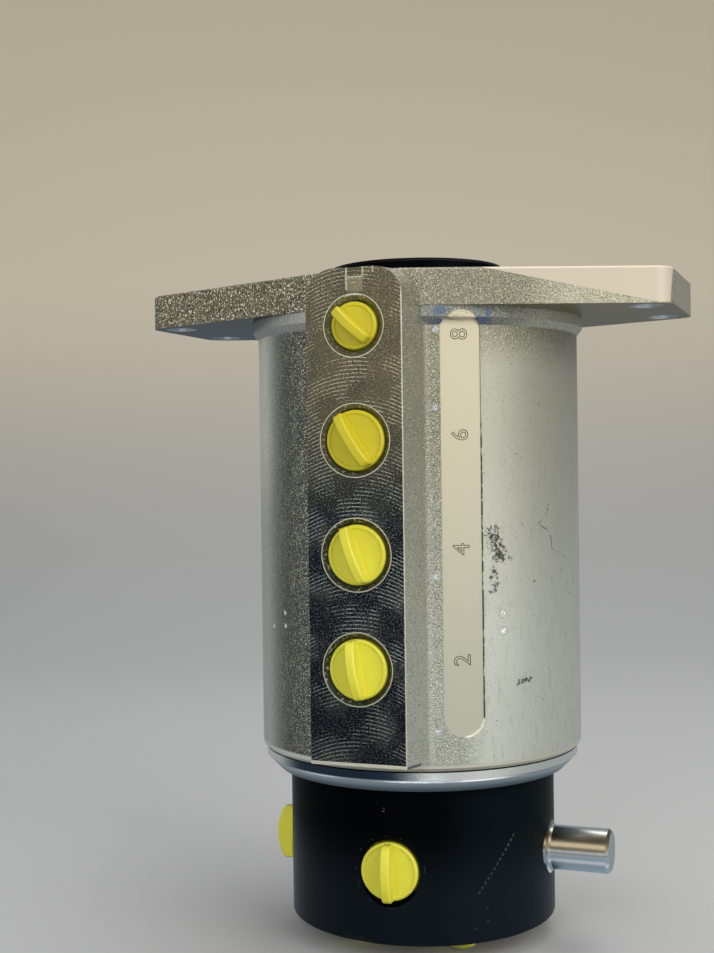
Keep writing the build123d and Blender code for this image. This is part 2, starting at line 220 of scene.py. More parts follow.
BOSS_FACE = 60.1           # millimetres, as the frame
BOSS_HALF_WIDTH = 15.0
FLANGE_UNDERSIDE = -11.0
STATOR_RADIUS = 52.5
PORT_PITCH = 33.6
TOP_PORTS = {-1: -17.0, 1: -33.8}   # topmost port of the -Y and +Y faces
SMALL_PORT_STEP = 1.55     # how much smaller a small port's mouth is
OUT_OF_ROW = 100           # added past a row's ends, where no port follows
BOLT_PLACE = (78.5, 17.5, 0)
POCKET_AZIMUTH = radians(-57.9)
POCKET_FLOOR = 51.75
POCKET_HALF_WIDTH = 6.2
POCKET_END = -132.8        # centre of the pocket's lower round end

cast = Finish("zinc_plated_casting")
height = cast.along((0, 0, 1))
depth = cast.along((0, 1, 0))
width = cast.along((1, 0, 0))
radius = cast.vector("LENGTH", cast.vector("MULTIPLY", cast.place, (1, 1, 0)))
outward = cast.math("ABSOLUTE", depth)
facing_up = cast.along((0, 0, 1), cast.normal)
facing_port = cast.math("ABSOLUTE", cast.along((0, 1, 0), cast.normal))
front_half = cast.step(depth, 0, -1)
back_half = cast.step(depth, 0, 1)


def toward(azimuth):
    """Level unit vector at an azimuth in degrees."""
    return (cos(radians(azimuth)), sin(radians(azimuth)), 0)


def on_stator(azimuth, z):
    """Point on the stator's round side."""
    return on_side(STATOR_RADIUS, azimuth, z)


def port_reach(side):
    """Distance from the axis of the nearest port of one row."""
    shifted = cast.math("SUBTRACT", TOP_PORTS[side] + PORT_PITCH / 2, height)
    offset = cast.math("SUBTRACT", cast.math("FLOORED_MODULO", shifted, PORT_PITCH), PORT_PITCH / 2)
    squares = cast.math("ADD", cast.both(width, width), cast.both(offset, offset))
    return cast.math("SQRT", squares)


# Where each surface lies.
on_face = cast.both(cast.step(outward, BOSS_FACE - 0.6, BOSS_FACE - 0.5),
                    cast.step(facing_port, 0.95, 0.99))
out = (cos(POCKET_AZIMUTH), sin(POCKET_AZIMUTH), 0)
round_it = (-out[1], out[0], 0)
across_pocket = cast.along(round_it)
out_there = cast.along(out)
on_pocket = cast.both(
    cast.band(out_there, POCKET_FLOOR - 0.3, POCKET_FLOOR + 0.1, 0.04),
    cast.band(across_pocket, -POCKET_HALF_WIDTH - 0.05, POCKET_HALF_WIDTH + 0.05, 0.05),
    cast.step(height, FLANGE_UNDERSIDE, FLANGE_UNDERSIDE - 0.2))
on_underside = cast.both(cast.step(facing_up, -0.9, -0.97),
                         cast.step(height, FLANGE_UNDERSIDE - 0.5, FLANGE_UNDERSIDE - 0.3))
on_top = cast.both(cast.step(facing_up, 0.9, 0.97), cast.step(height, -4.5, -3.5))
near_port = cast.blend(cast.step(depth, -1, 1), port_reach(-1), port_reach(1))
at_small_port = cast.most(cast.both(cast.step(height, -34, -33), front_half),
                          cast.both(cast.step(height, -117, -118), back_half))
near_port = cast.math("MULTIPLY_ADD", at_small_port, SMALL_PORT_STEP, near_port)
beyond_row = cast.most(cast.both(cast.step(height, -133, -134), front_half),
                       cast.both(cast.step(height, -19, -18), back_half))
near_port = cast.math("MULTIPLY_ADD", beyond_row, OUT_OF_ROW, near_port)
in_mouth = cast.both(cast.step(near_port, 10.9, 10.8), cast.step(outward, 46, 47),
                     cast.step(outward, BOSS_FACE - 0.05, BOSS_FACE - 0.1))
in_bore = cast.both(cast.step(radius, 48.5, 48.0), cast.step(outward, 59.95, 59.9))
on_bead = cast.both(cast.band(height, -16.6, -11.2, 0.4), cast.step(radius, 55.5, 55.0))
on_rim = cast.both(cast.step(height, -146.6, -147.4), cast.step(width, -16, -14))
level_place = cast.vector("ABSOLUTE", cast.vector("MULTIPLY", cast.place, (1, 1, 0)))
bolt_gap = cast.vector("LENGTH", cast.vector("SUBTRACT", level_place, BOLT_PLACE))
in_bolt_hole = cast.both(cast.step(bolt_gap, 6.3, 6.1),
                         cast.step(cast.math("ABSOLUTE", facing_up), 0.6, 0.4))
milled = cast.most(on_face, in_bolt_hole, on_pocket, on_underside, on_top, in_mouth, in_bore, on_rim)

# A long smooth pale triangle on one front edge of the flange is a painted highlight; one side runs on a
# slant.
EDGE_AZIMUTH = -67.9
SLANT_START = 34.5
SLANT = 0.22
slant = cast.math("ADD", height, cast.both(cast.math("SUBTRACT", width, SLANT_START), SLANT))
edge_end = cast.math("MULTIPLY_ADD", height, -0.07, width)
painted_highlight_wedge = cast.both(cast.step(cast.along(toward(EDGE_AZIMUTH), cast.normal), 0.3, 0.36),
                     cast.step(slant, -0.1, 0.1), cast.step(edge_end, 87.0, 86.7),
                     cast.step(width, 30, 31), cast.step(height, -10.7, -10.4))

# The skin is coarse on the flange's edges and beside the bosses, and smooth on the open side.
OPEN_AZIMUTH = -24
LEFT_LIGHT_AZIMUTH = -124
BOSS_SHADOW_AZIMUTH = -112
FAR_LEFT_AZIMUTH = -155
below_bead = cast.step(height, -11.5, -15)
on_wall = cast.both(below_bead, cast.step(outward, 46, 40))
round_wall = cast.both(below_bead, cast.band(radius, 51.9, 53.1, 0.1))
open_side = cast.both(cast.step(cast.along(toward(OPEN_AZIMUTH)), 31, 40), on_wall)
on_flange_end = cast.step(cast.math("ABSOLUTE", width), 85.6, 86.2)
smooth_skin = cast.most(open_side, on_flange_end)
on_roll = cast.both(cast.step(height, -13.2, -14.0), cast.step(height, -18, -16),
                    cast.step(radius, 52.7, 53.0))
on_flank = cast.both(cast.step(outward, 48, 50), cast.step(height, -11.4, -11.8))
# Painted light on the stator's left side, and the boss's painted shadow beside it.
left_light = cast.both(cast.step(cast.along(toward(LEFT_LIGHT_AZIMUTH)), 30, 49), round_wall)
boss_shadow = cast.both(cast.step(cast.along(toward(BOSS_SHADOW_AZIMUTH)), 46, 52), left_light)
far_left = cast.both(cast.step(cast.along(toward(FAR_LEFT_AZIMUTH)), 34, 46), round_wall)
left_bead = cast.both(on_bead, cast.step(width, -14, -20))
coarse = cast.blend(smooth_skin, 1.0, cast.blend(cast.step(height, -31, -17), 0.16, 0.85))
coarse = cast.most(coarse, cast.both(on_roll, 0.7))
coarse = cast.both(coarse, cast.blend(cast.noise(0.055, 2.0), 0.75, 1.2), cast.blend(on_flank, 1.0, 0.7),
                   cast.blend(boss_shadow, 1.0, 1.15), cast.blend(far_left, 1.0, 0.3),
                   cast.blend(left_bead, 1.0, 0.35), cast.math("SUBTRACT", 1.0, painted_highlight_wedge))
sand = cast.noise(1.4, 3.0, 0.7)
crystals = cast.grains(1.7)
fine_side = cast.most(cast.step(width, -8, 8), cast.step(height, -11.2, -11.8))
glitter = cast.step(cast.blend(fine_side, cast.noise(1.55, 2.0, 0.6, shift=8.0),
                               cast.noise(2.3, 2.0, 0.6, shift=9.0)), 0.56, 0.63)
pits = cast.step(cast.blend(fine_side, cast.noise(1.4, 2.0, 0.6, shift=22.0),
                            cast.noise(2.0, 2.0, 0.6, shift=23.0)), 0.48, 0.38)
clouds = cast.noise(0.035, 3.0, 0.5, shift=4.0)

# The skin's tones, one coat over another. The flange's left edge is browner. On the round side
# to the left a lighter tone stands as painted light, and beside the boss a dark tone as its painted
# shadow.
low_down = cast.step(height, -25, -130)
browner = cast.both(cast.step(width, -8, -30), cast.step(height, -11.6, -11.2))
lighter = cast.both(cast.step(width, 44, 60), cast.step(height, -11.4, -11.1))
left_light_tone = cast.colour(cast.step(height, -80, -45), srgb(186, 188, 174), srgb(226, 226, 208))
# The bead's grey-green tone carries painted light: lighter towards the right, darker by the pocket.
bead_tone_and_light = cast.colour(cast.step(width, -50, 10), srgb(150, 154, 150), srgb(182, 180, 164))
bead_tone_and_light = cast.colour(cast.step(cast.along(toward(-62)), 44, 52), bead_tone_and_light, srgb(124, 126, 116))
sparkle = cast.blend(cast.step(width, 0, 24), 1.0, 0.45)
specks = cast.step(cast.noise(1.3, 2.0, 0.6, shift=33.0), 0.68, 0.73)
streaky = cast.step(cast.noise(0.6, 3.0, 0.6, stretch=(1, 1, 0.3), shift=14.0), 0.5, 0.72)
beside = cast.band(cast.math("ABSOLUTE", across_pocket), 4.6, 9.5, 1.2)
bead_by_pocket = cast.both(on_bead, cast.step(out_there, 48, 50))
# Beside the pocket's top end the bead carries patches of painted blue reflection.
blue_reflection_patches = cast.step(cast.noise(0.4, 3.0), 0.4, 0.56)
arch = cast.math("ADD", cast.math("POWER", cast.math("DIVIDE", across_pocket, 4.9), 2.0),
                 cast.math("POWER", cast.math("DIVIDE", cast.math("ADD", height, 16.6), 4.2), 2.0))
skin = cast.colour(low_down, srgb(172, 168, 151), srgb(200, 202, 192))
for coat, tone in (
        (clouds, cast.colour(low_down, srgb(166, 166, 152), srgb(186, 188, 178))),
        (cast.both(coarse, 0.8), cast.colour(low_down, srgb(120, 115, 92), srgb(152, 154, 140))),
        (cast.both(browner, 0.8), srgb(116, 102, 70)),
        (cast.both(lighter, 0.6), srgb(196, 190, 166)),
        (on_flange_end, srgb(154, 150, 130)),
        (left_light, left_light_tone),
        (boss_shadow, srgb(72, 75, 67)),
        (on_bead, bead_tone_and_light),
        (cast.both(pits, coarse, sparkle), srgb(40, 37, 26)),
        (cast.both(glitter, coarse, sparkle), srgb(250, 242, 214)),
        (cast.both(specks, smooth_skin, on_wall), srgb(96, 96, 84)),
        (cast.both(streaky, 0.35), srgb(150, 152, 138)),
        # the pale triangle on the flange's front edge: a painted highlight
        (painted_highlight_wedge, srgb(206, 193, 172)),
        (cast.both(bead_by_pocket, beside, blue_reflection_patches), srgb(92, 106, 128)),
        (cast.both(cast.step(arch, 1.06, 0.96), bead_by_pocket), srgb(196, 186, 156))):
    skin = cast.colour(coat, skin, tone)

# Machined areas, over the skin.
mottle = cast.step(cast.noise(0.09, 2.0, shift=3.0), 0.45, 0.75)
face_low = cast.step(height, -80, -28)
# The milled face's tone carries a painted reflection: near black and bluish low down, warm grey higher up.
face_tone_and_reflection = cast.colour(face_low, srgb(5, 13, 23), srgb(94, 87, 66))
face_tone_and_reflection = cast.colour(cast.both(mottle, 0.7), face_tone_and_reflection, srgb(66, 66, 58))
pocket_pale = cast.colour(cast.step(height, -139, -12), srgb(180, 178, 160), srgb(188, 180, 152))
# The flange's underside is painted in shade to the left, dark and bluish, and lighter and warmer to the
# right.
underside_light_and_shade = cast.colour(cast.step(width, -50, 10), srgb(40, 56, 68), srgb(144, 134, 104))
rim_tone = cast.colour(cast.step(width, -40, 20), srgb(208, 204, 184), srgb(192, 188, 172))
# The port mouths are painted dark low down and lit grey higher up, with bright painted glints on their
# walls.
mouth_glints = cast.step(cast.noise(1.1, 3.0, 0.65, shift=80.0), 0.56, 0.66)
mouth_tone_and_light = cast.colour(face_low, srgb(66, 72, 72), srgb(128, 126, 110))
mouth_tone_and_light = cast.colour(mouth_glints, mouth_tone_and_light, srgb(206, 204, 190))
on_foot = cast.both(cast.step(height, -145.3, -145.5), cast.step(outward, 53, 54))
rim_left = cast.both(cast.step(height, -146.4, -147.2), cast.step(width, -14, -18),
                     cast.step(outward, 54, 53))
paint = skin
# The bolt holes are painted bright as the light seen through them.
for coat, tone in ((in_bore, srgb(120, 122, 120)), (on_rim, rim_tone), (on_top, srgb(150, 150, 144)),
                   (on_underside, underside_light_and_shade), (in_bolt_hole, srgb(206, 212, 214)),
                   (on_pocket, pocket_pale), (on_face, face_tone_and_reflection), (in_mouth, mouth_tone_and_light),
                   (on_foot, srgb(92, 97, 96)), (rim_left, srgb(204, 208, 196))):
    paint = cast.colour(coat, paint, tone)

# The face mill's marks are parts of equal circles, a little over a millimetre apart.
MILL_RADIUS = 32.0
MARK_PITCH = 1.15
bow = cast.math("SQRT", cast.math("SUBTRACT", MILL_RADIUS ** 2, cast.both(width, width)))
marks_at = cast.math("SUBTRACT", height, bow)
arcs = cast.step(cast.math("SINE", cast.both(marks_at, 2 * pi / MARK_PITCH)), 0.3, 1.0)
arcs = cast.both(arcs, cast.step(cast.noise(0.09, 2.0, shift=6.0), 0.42, 0.58))
arc_place = cast.tree.nodes.new("ShaderNodeCombineXYZ")
cast.put(arc_place.inputs[0], cast.both(width, 1.9))
cast.put(arc_place.inputs[1], cast.both(marks_at, 3.6))
flecks = cast.noise(0.9, 5.0, 0.7, place=arc_place.outputs[0])
streaks = cast.step(cast.math("MULTIPLY_ADD", arcs, 0.14, flecks), 0.52, 0.76)
streaks = cast.both(streaks, cast.blend(cast.step(height, -135, -105), 0.75, 1.0))
gleam = cast.colour(face_low, srgb(176, 182, 176), srgb(206, 198, 168))
# Bright lines on the port lips and along the face's edges are painted highlights.
lip_highlight = cast.band(near_port, 10.6, 10.95, 0.12)
edge_highlight = cast.most(cast.step(width, BOSS_HALF_WIDTH - 0.5, BOSS_HALF_WIDTH - 0.2),
                 cast.step(height, -145.15, -145.3))
for coat, tone in ((streaks, gleam), (cast.step(flecks, 0.47, 0.32), srgb(16, 18, 18)),
                   (cast.most(lip_highlight, edge_highlight), srgb(214, 210, 186))):
    paint = cast.colour(cast.both(on_face, coat), paint, tone)

# A small vent cut at the top of the boss runs down to the first port's mouth; it is painted on, its inside
# in painted shade and its edges in painted highlights.
near_side = cast.both(on_face, front_half)
in_vent = cast.both(near_side, cast.band(width, -2.2, 3.1, 0.15), cast.step(height, -7.4, -6.6))
vent_highlights = cast.most(cast.band(width, -2.45, -1.95, 0.12), cast.band(width, 2.85, 3.35, 0.12),
                     cast.band(height, -3.0, -2.6, 0.12))
vent_highlights = cast.both(vent_highlights, cast.band(width, -2.45, 3.35, 0.1), cast.step(height, -3.1, -2.9))
lower_rim = cast.both(cast.band(width, -2.5, -1.9, 0.15), cast.step(height, -6.9, -6.4),
                      cast.step(flecks, 0.42, 0.5))
top_tick = cast.both(cast.band(width, 6.0, 6.4, 0.12), cast.step(height, -1.9, -1.6))
# Painted shade inside the vent; its edges get painted highlights below.
vent_shade = cast.colour(cast.step(height, -3.2, -2.6), srgb(160, 154, 122), srgb(62, 60, 46))
paint = cast.colour(cast.both(in_vent, 0.4), paint, vent_shade)
vent_highlights = cast.both(near_side, cast.most(vent_highlights, lower_rim, top_tick), cast.step(flecks, 0.36, 0.54))
paint = cast.colour(vent_highlights, paint, srgb(206, 200, 172))

# Pocket edges: a painted shadow along the step of one side, a painted highlight on the round end, and
# small painted glints on the other side.
by_edge = cast.step(out_there, 48, 49)
step_shadow = cast.both(cast.band(across_pocket, 6.05, 6.45, 0.1), cast.step(height, -44, -48),
                      cast.step(height, -136, -134), by_edge,
                      cast.step(cast.noise(0.35, 2.0, shift=70.0), 0.36, 0.5))
paint = cast.colour(step_shadow, paint, srgb(70, 68, 58))
end_of_pocket = (out[0] * POCKET_FLOOR, out[1] * POCKET_FLOOR, POCKET_END)
end_highlight = cast.both(cast.band(cast.vector("DISTANCE", cast.place, end_of_pocket), 6.0, 6.45, 0.12),
                    cast.step(height, -133.2, -134.2), cast.step(across_pocket, -0.5, 1.5), by_edge)
paint = cast.colour(end_highlight, paint, srgb(242, 238, 220))
for azimuth, z in ((-66.4, -41.0), (-66.5, -91.2), (-66.8, -137.0), (-66.0, -18.0)):
    edge_glint = cast.both(cast.spot(on_stator(azimuth, z), 1.3), cast.step(sand, 0.42, 0.58))
    paint = cast.colour(edge_glint, paint, srgb(196, 202, 212))

# Handling marks: dirty scuffs, a hairline scratch and a thin row of specks on the open side, two
# centre-punch dots, dark nicks, and three bright painted glints left of the boss.
grime = cast.noise(0.9, 3.0, 0.7, shift=40.0)
upper_scuff = cast.streak(on_stator(-47.6, -78.4), on_stator(-45.2, -85.4), 4.6, 0.95)[0]
lower_scuff = cast.streak(on_stator(-47.2, -90.4), on_stator(-46.8, -95.8), 3.0, 0.95)[0]
side_scuff = cast.streak(on_stator(-38.0, -123.9), on_stator(-33.0, -123.2), 1.3, 0.8)[0]
small_scuff = cast.spot(on_stator(-41.1, -86.1), 2.0, 0.9)
scuffed = cast.most(upper_scuff, cast.both(lower_scuff, 0.8), side_scuff, cast.both(small_scuff, 0.8))
dirt = cast.step(cast.math("MULTIPLY_ADD", scuffed, 0.26, grime), 0.62, 0.8)
paint = cast.colour(cast.both(dirt, cast.step(scuffed, 0.05, 0.3)), paint, srgb(58, 58, 50))
crack_points = ((-22.7, -70.5), (-23.9, -73.6), (-28.6, -76.5), (-24.0, -78.2), (-21.5, -81.1),
                (-21.2, -84.2), (-10.3, -88.0))
cracks = [cast.streak(on_stator(*start), on_stator(*end), 0.35, 0.6)[0]
          for start, end in zip(crack_points, crack_points[1:])]
broken = cast.step(cast.noise(1.1, 2.0, shift=51.0), 0.44, 0.56)
paint = cast.colour(cast.both(cast.most(*cracks), broken, 0.8), paint, srgb(92, 92, 80))
seam = cast.streak(on_stator(8.6, -56.0), on_stator(8.2, -142.0), 0.5, 0.6)[0]
seam_gaps = cast.step(cast.noise(0.4, 3.0, 0.7, shift=60.0), 0.44, 0.5)
paint = cast.colour(cast.both(seam, seam_gaps), paint, srgb(112, 112, 102))
punch_bits = cast.step(cast.noise(1.6, 2.0, shift=90.0), 0.46, 0.58)
for z in (-102.9, -108.0):
    dot = on_stator(-44.0, z)
    rim_of_dot = cast.both(cast.spot(dot, 1.6, 0.2), cast.math("SUBTRACT", 1.0, cast.spot(dot, 1.2, 0.3)))
    paint = cast.colour(cast.both(rim_of_dot, 0.4), paint, srgb(110, 108, 96))
    paint = cast.colour(cast.both(cast.spot(dot, 1.4, 0.4), punch_bits), paint, srgb(246, 246, 236))
for azimuth, z, size in ((-35.9, -76.3, 0.7), (-30.5, -93.9, 0.7), (-8.3, -99.0, 0.6),
                         (-50.8, -97.8, 0.5)):
    nick = cast.both(cast.spot(on_stator(azimuth, z), size), cast.step(sand, 0.4, 0.6))
    paint = cast.colour(nick, paint, srgb(74, 72, 62))
# Three bright spots left of the boss are painted glints.
for azimuth, z in ((-125.4, -103.6), (-133.8, -108.5), (-125.1, -107.7)):
    paint = cast.colour(cast.spot(on_stator(azimuth, z), 0.85), paint, srgb(236, 236, 224))

# Relief, gloss and metal.
CAST_RELIEF = 0.28
cast_height = cast.both(cast.math("MULTIPLY_ADD", crystals, -0.5, sand), coarse)
face_height = cast.math("MULTIPLY_ADD", arcs, 0.12, cast.both(flecks, 0.4))
fine_height = cast.both(cast.noise(1.2, 2.0, stretch=(1, 1, 0.1)), 0.03)
surface_height = cast.blend(milled, cast_height, fine_height)
surface_height = cast.blend(on_face, surface_height, face_height)
rough = cast.blend(coarse, 0.5, 0.42)
for where, value in ((milled, 0.3), (on_face, cast.blend(flecks, 0.26, 0.42)), (on_pocket, 0.42)):
    rough = cast.blend(where, rough, value)
metal = cast.blend(milled, 0.5, 0.7)
for where, value in ((on_pocket, 0.3), (painted_highlight_wedge, 0.1), (on_rim, 0.4), (on_underside, 0.05),
                     (on_face, 0.9)):
    metal = cast.blend(where, metal, value)
cast.surface(Base_Color=paint, Roughness=rough, Specular_IOR_Level=cast.blend(on_underside, 0.5, 0.02),
             Metallic=metal, Normal=cast.relief(surface_height, CAST_RELIEF))
wear(cast.material, "stator_housing")

# ------------------------------------------------------------------------------------------------
# Port numbers. Stamped with 5 mm figure punches into the milled pocket, each beside its port and
# turned to read along the stator, tops towards the boss. The punch leaves a thin bright-edged line.

ink = Finish("stamped_line")
ink.surface(Base_Color=ink.colour(ink.noise(1.5, 2.0), srgb(122, 115, 90), srgb(82, 76, 58)),
            Roughness=0.55, Metallic=0.4)
FIGURE_HEIGHT = 5.0 * MM
LINE_RADIUS = 0.13 * MM
CAPITAL_SHARE = 0.7        # height of a figure, as a share of the type's size


def stamped(name, text, place, facing, up, finish, body):
    """Outline of a figure, laid just into a surface as a punch's line."""
    letter = bpy.data.curves.new(name, "FONT")
    letter.body = text
    letter.size = FIGURE_HEIGHT / CAPITAL_SHARE
    letter.align_x = "CENTER"
    letter.align_y = "CENTER"
    letter.fill_mode = "NONE"
    letter.bevel_depth = LINE_RADIUS
    letter.bevel_resolution = 1
    letter.resolution_u = 6
    letter.materials.append(finish)
    figure = bpy.data.objects.new(name, letter)
    bpy.context.scene.collection.objects.link(figure)
    facing = Vector(facing).normalized()
    up = Vector(up).normalized()
    side = up.cross(facing)
    turn = Matrix((side, up, facing)).transposed().to_4x4()
    figure.matrix_world = Matrix.Translation(place) @ turn
    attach(figure, body)
    return figure


figure_heights = {"8": -19.4, "6": -49.3, "4": -83.1, "2": -116.1}
for text, z in figure_heights.items():
    middle = Vector(out) * (POCKET_FLOOR + 0.02) * MM + Vector((0, 0, z * MM))
    figure = stamped("stamped_number_" + text, text, middle, out, (-round_it[0], -round_it[1], 0),
                     ink.material, "stator")

# ------------------------------------------------------------------------------------------------
# Inside the stator: bronze thrust washers, filled slide rings, rubber energisers and a dust seal.
# They are out of sight until the union is taken apart, and each has its real finish.

bronze = Finish("turned_bronze")
turned = bronze.math("SINE", bronze.math("MULTIPLY", bronze.vector(
    "LENGTH", bronze.vector("MULTIPLY", bronze.place, (1, 1, 0))), 2 * pi / 0.35))
bronze.surface(Base_Color=bronze.colour(bronze.noise(0.2), srgb(190, 150, 84), srgb(158, 118, 60)),
               Roughness=0.32, Metallic=0.95, Normal=bronze.relief(turned, 0.01))
wear(bronze.material, "upper_thrust_washer", "lower_thrust_washer")

slide = Finish("filled_slide_ring")
slide.surface(Base_Color=slide.colour(slide.noise(0.8), srgb(66, 84, 76), srgb(48, 62, 58)),
              Roughness=0.42, Normal=slide.relief(slide.noise(2.0), 0.02))
rubber = Finish("nitrile_rubber")
rubber.surface(Base_Color=rubber.colour(rubber.noise(0.6), srgb(30, 30, 31), srgb(44, 43, 42)),
               Roughness=0.55, Normal=rubber.relief(rubber.noise(1.5), 0.02))
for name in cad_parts:
    if name.startswith("seal_ring"):
        wear(slide.material, name)
    if name.startswith("seal_energiser"):
        wear(rubber.material, name)
wear(rubber.material, "lower_dust_seal")

# ------------------------------------------------------------------------------------------------
# Rotor. Turned from steel bar and phosphated black, with a faint painted sheen. Its lower end holds
# the side ports, the end ports and the torque pin; handling has left a few light scratches.

ROTOR_RADIUS = 43.4
PORT_ROW = -181.6

black = Finish("black_phosphated_steel")
film = black.noise(0.03, 3.0, stretch=(1, 1, 0.35))
speckle = black.step(black.noise(2.6, 2.0, 0.6), 0.66, 0.76)
blued = black.colour(film, srgb(0, 1, 2), srgb(3, 5, 8))
wear_and_sheen = black.colour(black.both(speckle, 0.35), blued, srgb(70, 72, 74))
lathe = black.math("SINE", black.math("MULTIPLY", black.along((0, 0, 1)), 2 * pi / 0.45))
lathe = black.math("MULTIPLY_ADD", lathe, 0.1, black.noise(2.0, 2.0))
line, reach = black.streak(on_side(ROTOR_RADIUS + 0.27, -31.7, -172.3),
                           on_side(ROTOR_RADIUS + 0.27, -49.7, -189.0), 0.46, 0.35)
dash = black.step(black.math("SINE", black.math("MULTIPLY", reach, 2 * pi / 1.7)), -0.5, 0.3)
wander = black.step(black.noise(0.5, 2.0), 0.12, 0.36)
scuffs = black.both(line, dash, wander)
scuff_bits = black.step(black.noise(1.9), 0.48, 0.6)
for azimuth, z in ((-45.7, -193.4), (-45.3, -197.4), (-50.7, -199.3), (-46.3, -200.7), (-88.1, -162.7)):
    scuffs = black.most(scuffs, black.both(black.spot(on_side(ROTOR_RADIUS, azimuth, z), 0.8), scuff_bits))
wear_and_sheen = black.colour(scuffs, wear_and_sheen, srgb(104, 106, 104))
# Broken light rings round the side ports are painted glints on their edges.
for azimuth in (-86, -170, 57):
    away = black.vector("DISTANCE", black.place, on_side(ROTOR_RADIUS, azimuth, PORT_ROW))
    port_edge_glint = black.both(black.band(away, 10.9, 11.1, 0.1), black.step(black.noise(0.35, 2.0), 0.5, 0.65))
    wear_and_sheen = black.colour(black.both(port_edge_glint, 0.6), wear_and_sheen, srgb(84, 90, 92))
# Painted sheen: bluish low down, and lighter on the right side.
sheen_low = black.both(black.step(black.along((0, 0, 1)), -168, -192),
                       black.step(black.along((0, 0, 1), black.normal), 0.5, 0.2))
wear_and_sheen = black.colour(black.both(sheen_low, 0.6), wear_and_sheen, srgb(12, 22, 30))
sheen_right = black.step(black.along(toward(-22)), 30, 42)
wear_and_sheen = black.colour(black.both(sheen_right, 0.6), wear_and_sheen, srgb(17, 25, 30))
shine = black.blend(sheen_low, 0.015, 0.08)
black.surface(Base_Color=wear_and_sheen, Roughness=black.blend(film, 0.3, 0.4), Specular_IOR_Level=shine,
              Normal=black.relief(lathe, 0.012))
wear(black.material, "rotor")

# ------------------------------------------------------------------------------------------------
# Collar ring. Turned bright steel between stator and rotor, with a plain band and a wide chamfer.
# Its fine lathe lines run round it and draw the light into one long streak. The band carries a dark
# painted shade below the boss, and the chamfer a painted fall from light to dark.

bright = Finish("turned_steel")
ring_height = bright.along((0, 0, 1))
lines = bright.math("SINE", bright.math("MULTIPLY", ring_height, 2 * pi / 0.22))
lines = bright.math("MULTIPLY_ADD", lines, 0.3, bright.noise(0.8, 2.0, stretch=(0.1, 0.1, 8)))
level = bright.vector("NORMALIZE", bright.vector("MULTIPLY", bright.place, (1, 1, 0)))
level_up = bright.vector("NORMALIZE", bright.vector("ADD", level, (0, 0, 0.12)))
on_chamfer = bright.step(bright.along((0, 0, 1), bright.normal), -0.2, -0.4)
on_edge = bright.band(ring_height, -152.7, -151.9, 0.2)
eased = bright.mix("VECTOR", bright.both(on_chamfer, 0.5), bright.normal, level)
eased = bright.vector("NORMALIZE", bright.mix("VECTOR", on_edge, eased, level_up))
# Painted shade on the band below the boss, and painted light down the chamfer.
band_painted_shade = bright.step(bright.along(toward(-101)), 42.5, 49)
band_tone_and_shade = bright.colour(band_painted_shade, srgb(214, 214, 206), srgb(44, 56, 70))
chamfer_painted_light = bright.colour(bright.step(ring_height, -155.7, -152.6), srgb(92, 103, 108),
                             srgb(168, 178, 184))
ring_tone_and_light = bright.colour(bright.step(ring_height, -152.0, -151.8), chamfer_painted_light, band_tone_and_shade)
ring_tone_and_light = bright.colour(on_edge, ring_tone_and_light, srgb(176, 180, 182))
bright.surface(Base_Color=ring_tone_and_light, Roughness=0.27, Metallic=1.0,
               Normal=bright.relief(lines, 0.006, eased))
wear(bright.material, "collar_ring")

# ------------------------------------------------------------------------------------------------
# Circlip and drilling plugs. Blackened spring steel and blackened plugs at the rotor's upper end.

blackened = Finish("blackened_steel")
blackened.surface(Base_Color=blackened.colour(blackened.noise(0.5), srgb(0, 0, 1), srgb(3, 3, 4)),
                  Roughness=0.6, Specular_IOR_Level=0.03,
                  Normal=blackened.relief(blackened.noise(1.5), 0.01))
wear(blackened.material, "circlip", "drilling_plug_1", "drilling_plug_2", "drilling_plug_3")

# ------------------------------------------------------------------------------------------------
# Torque pin. Ground and plated round bar, pressed into the rotor's side, its foot in a clean seat.

plated = Finish("bright_pin")
grind = plated.noise(1.2, 2.0, stretch=(9, 0.3, 0.3))
plain = plated.colour(plated.noise(0.08), srgb(210, 210, 204), srgb(192, 196, 198))
lean = plated.along((0, 0, 1), plated.normal)
# The pin's bands are painted reflections: tan above, blue-white below, with a painted shade line between.
tan_reflection = plated.both(plated.band(lean, 0.12, 0.8, 0.1), plated.step(plated.noise(0.3, 2.0), 0.1, 0.3))
lower_reflection = plated.colour(plated.band(lean, -0.42, -0.26, 0.06), srgb(186, 204, 214), srgb(255, 255, 255))
plain = plated.colour(plated.step(lean, -0.06, -0.14), plain, lower_reflection)
cast_shade = plated.both(plated.band(lean, -0.03, 0.04, 0.04), 0.5)
plain = plated.colour(cast_shade, plain, srgb(110, 112, 108))
plated.surface(Base_Color=plated.colour(tan_reflection, plain, srgb(128, 118, 98)),
               Roughness=0.27, Metallic=1.0, Normal=plated.relief(grind, 0.003))
wear(plated.material, "torque_pin")

# ------------------------------------------------------------------------------------------------
# Port caps. Soft yellow polyethylene transport plugs with a raised grip, moulded, waxy, and a little
# translucent, so their thin rims look greener than the middle.

wax = Finish("yellow_polyethylene")
flow = wax.noise(0.12, 2.0)
